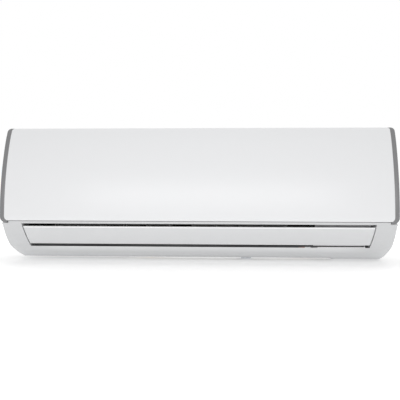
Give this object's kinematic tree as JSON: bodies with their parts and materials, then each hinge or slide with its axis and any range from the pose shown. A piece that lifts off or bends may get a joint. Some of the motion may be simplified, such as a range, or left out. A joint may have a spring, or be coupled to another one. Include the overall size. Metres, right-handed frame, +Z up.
{
  "type": "mini split indoor unit",
  "caption": "Wall-mounted mini split indoor unit with a curved front panel, swing louver, air-guide vanes, crossflow fan, finned coil, filters and wall plate.",
  "frame": {"origin": "centre of the four wall screws' holes, on the wall, half way along the unit", "axes": "+X along the unit to the right as a person facing it sees it, +Y into the wall, +Z up; the front faces -Y"},
  "size_m": [0.8, 0.2, 0.28],
  "materials": {
    "panel_white": "polished",
    "casing_white": "satin",
    "louver_white": "satin",
    "trim_grey": "satin",
    "chassis_grey": "moulded",
    "duct_black": "moulded",
    "vane_dark": "moulded",
    "fan_dark": "moulded",
    "galvanised_steel": "galvanised",
    "motor_steel": "satin",
    "stepper_steel": "plated",
    "shaft_steel": "ground",
    "dark_screw": "blackened",
    "fin_aluminium": "plain",
    "copper_tube": "drawn copper",
    "union_brass": "machined",
    "pipe_foam": "foamed",
    "hose_white": "moulded",
    "rubber_black": "matt",
    "bush_ivory": "moulded",
    "support_white": "moulded",
    "box_ivory": "moulded",
    "cover_steel": "satin",
    "board_green": "lacquered",
    "component_dark": "plain",
    "button_grey": "moulded",
    "filter_blue": "moulded",
    "mesh_grey": "woven"
  },
  "bodies": {
    "root": {"mounting_plate": "galvanised_steel", "rear_chassis": "chassis_grey", "front_casing": "casing_white", "intake_grille": "casing_white", "outlet_frame": "duct_black", "casing_screws": "dark_screw", "coil_front_lower": "fin_aluminium", "coil_front_upper": "fin_aluminium", "coil_rear": "fin_aluminium", "coil_end_plate_left": "galvanised_steel", "coil_end_plate_right": "galvanised_steel", "coil_hairpins": "copper_tube", "coil_return_bends": "copper_tube", "liquid_pipe": "copper_tube", "suction_pipe": "copper_tube", "liquid_union": "union_brass", "suction_union": "union_brass", "pipe_insulation": "pipe_foam", "pipe_clamp": "galvanised_steel", "drain_hose": "hose_white", "drain_plug": "rubber_black", "bearing_bush": "bush_ivory", "bearing_rubber": "rubber_black", "fan_motor": "motor_steel", "motor_bracket": "galvanised_steel", "louver_bush": "bush_ivory", "louver_center_support": "support_white", "louver_stepper": "stepper_steel", "control_box": "box_ivory", "control_box_cover": "cover_steel", "main_pcb": "board_green", "pcb_components": "component_dark", "terminal_block": "component_dark", "display_board": "board_green"},
    "front_panel": {"front_panel": "panel_white", "panel_trim_left": "trim_grey", "panel_trim_right": "trim_grey"},
    "louver": {"louver": "louver_white", "stepper_shaft": "bush_ivory"},
    "fan": {"crossflow_fan": "fan_dark", "fan_shaft": "shaft_steel", "motor_shaft": "shaft_steel"},
    "filter_left": {"filter_frame_left": "filter_blue", "filter_mesh_left": "mesh_grey"},
    "filter_right": {"filter_frame_right": "filter_blue", "filter_mesh_right": "mesh_grey"},
    "emergency_button": {"emergency_button": "button_grey"},
    "vane_01": {"vane_01": "vane_dark"},
    "vane_02": {"vane_02": "vane_dark"},
    "vane_03": {"vane_03": "vane_dark"},
    "vane_04": {"vane_04": "vane_dark"},
    "vane_05": {"vane_05": "vane_dark"},
    "vane_06": {"vane_06": "vane_dark"},
    "vane_07": {"vane_07": "vane_dark"},
    "vane_08": {"vane_08": "vane_dark"},
    "vane_09": {"vane_09": "vane_dark"},
    "vane_10": {"vane_10": "vane_dark"},
    "vane_11": {"vane_11": "vane_dark"},
    "vane_link_left": {"vane_link_left": "vane_dark"},
    "vane_link_right": {"vane_link_right": "vane_dark"}
  },
  "joints": [
    {"name": "front_panel_hinge", "type": "hinge", "parent": "root", "child": "front_panel", "pos_m": [0, -0.14345, 0.1359], "axis": [-1, 0, 0], "range_deg": [0, 60]},
    {"name": "louver_hinge", "type": "hinge", "parent": "root", "child": "louver", "pos_m": [0, -0.15372, -0.09205], "axis": [1, 0, 0], "range_deg": [0, 85]},
    {"name": "fan_spin", "type": "hinge", "parent": "root", "child": "fan", "pos_m": [0, -0.086, -0.014], "axis": [1, 0, 0], "continuous": true},
    {"name": "filter_left_slide", "type": "slide", "parent": "root", "child": "filter_left", "axis": [0, 0.2776, 0.9607], "range_m": [0, 0.18]},
    {"name": "filter_right_slide", "type": "slide", "parent": "root", "child": "filter_right", "axis": [0, 0.2776, 0.9607], "range_m": [0, 0.18]},
    {"name": "button_press", "type": "slide", "parent": "root", "child": "emergency_button", "axis": [0, 1, 0], "range_m": [0, 0.002], "stiffness_N_per_m": 300, "springref_m": -0.001},
    {"name": "vane_01_swing", "type": "hinge", "parent": "root", "child": "vane_01", "pos_m": [-0.292, -0.128, -0.075], "axis": [0, 0, 1], "range_deg": [-35, 35]},
    {"name": "vane_02_swing", "type": "hinge", "parent": "root", "child": "vane_02", "pos_m": [-0.24475, -0.128, -0.075], "axis": [0, 0, 1], "range_deg": [-35, 35]},
    {"name": "vane_03_swing", "type": "hinge", "parent": "root", "child": "vane_03", "pos_m": [-0.1975, -0.128, -0.075], "axis": [0, 0, 1], "range_deg": [-35, 35]},
    {"name": "vane_04_swing", "type": "hinge", "parent": "root", "child": "vane_04", "pos_m": [-0.15025, -0.128, -0.075], "axis": [0, 0, 1], "range_deg": [-35, 35]},
    {"name": "vane_05_swing", "type": "hinge", "parent": "root", "child": "vane_05", "pos_m": [-0.103, -0.128, -0.075], "axis": [0, 0, 1], "range_deg": [-35, 35]},
    {"name": "vane_06_swing", "type": "hinge", "parent": "root", "child": "vane_06", "pos_m": [-0.05575, -0.128, -0.075], "axis": [0, 0, 1], "range_deg": [-35, 35]},
    {"name": "vane_07_swing", "type": "hinge", "parent": "root", "child": "vane_07", "pos_m": [-0.0085, -0.128, -0.075], "axis": [0, 0, 1], "range_deg": [-35, 35]},
    {"name": "vane_08_swing", "type": "hinge", "parent": "root", "child": "vane_08", "pos_m": [0.03875, -0.128, -0.075], "axis": [0, 0, 1], "range_deg": [-35, 35]},
    {"name": "vane_09_swing", "type": "hinge", "parent": "root", "child": "vane_09", "pos_m": [0.086, -0.128, -0.075], "axis": [0, 0, 1], "range_deg": [-35, 35]},
    {"name": "vane_10_swing", "type": "hinge", "parent": "root", "child": "vane_10", "pos_m": [0.13325, -0.128, -0.075], "axis": [0, 0, 1], "range_deg": [-35, 35]},
    {"name": "vane_11_swing", "type": "hinge", "parent": "root", "child": "vane_11", "pos_m": [0.1805, -0.128, -0.075], "axis": [0, 0, 1], "range_deg": [-35, 35]},
    {"name": "vane_link_left_pin", "type": "hinge", "parent": "vane_01", "child": "vane_link_left", "pos_m": [-0.292, -0.15, -0.0608], "axis": [0, 0, 1], "range_deg": [-35, 35]},
    {"name": "vane_link_right_pin", "type": "hinge", "parent": "vane_07", "child": "vane_link_right", "pos_m": [-0.0085, -0.15, -0.0608], "axis": [0, 0, 1], "range_deg": [-35, 35]}
  ],
  "couplings": [
    {"joint": "vane_02_swing", "follows": "vane_01_swing", "ratio": 1},
    {"joint": "vane_03_swing", "follows": "vane_01_swing", "ratio": 1},
    {"joint": "vane_04_swing", "follows": "vane_01_swing", "ratio": 1},
    {"joint": "vane_05_swing", "follows": "vane_01_swing", "ratio": 1},
    {"joint": "vane_06_swing", "follows": "vane_01_swing", "ratio": 1},
    {"joint": "vane_08_swing", "follows": "vane_07_swing", "ratio": 1},
    {"joint": "vane_09_swing", "follows": "vane_07_swing", "ratio": 1},
    {"joint": "vane_10_swing", "follows": "vane_07_swing", "ratio": 1},
    {"joint": "vane_11_swing", "follows": "vane_07_swing", "ratio": 1},
    {"joint": "vane_link_left_pin", "follows": "vane_01_swing", "ratio": -1},
    {"joint": "vane_link_right_pin", "follows": "vane_07_swing", "ratio": -1}
  ]
}
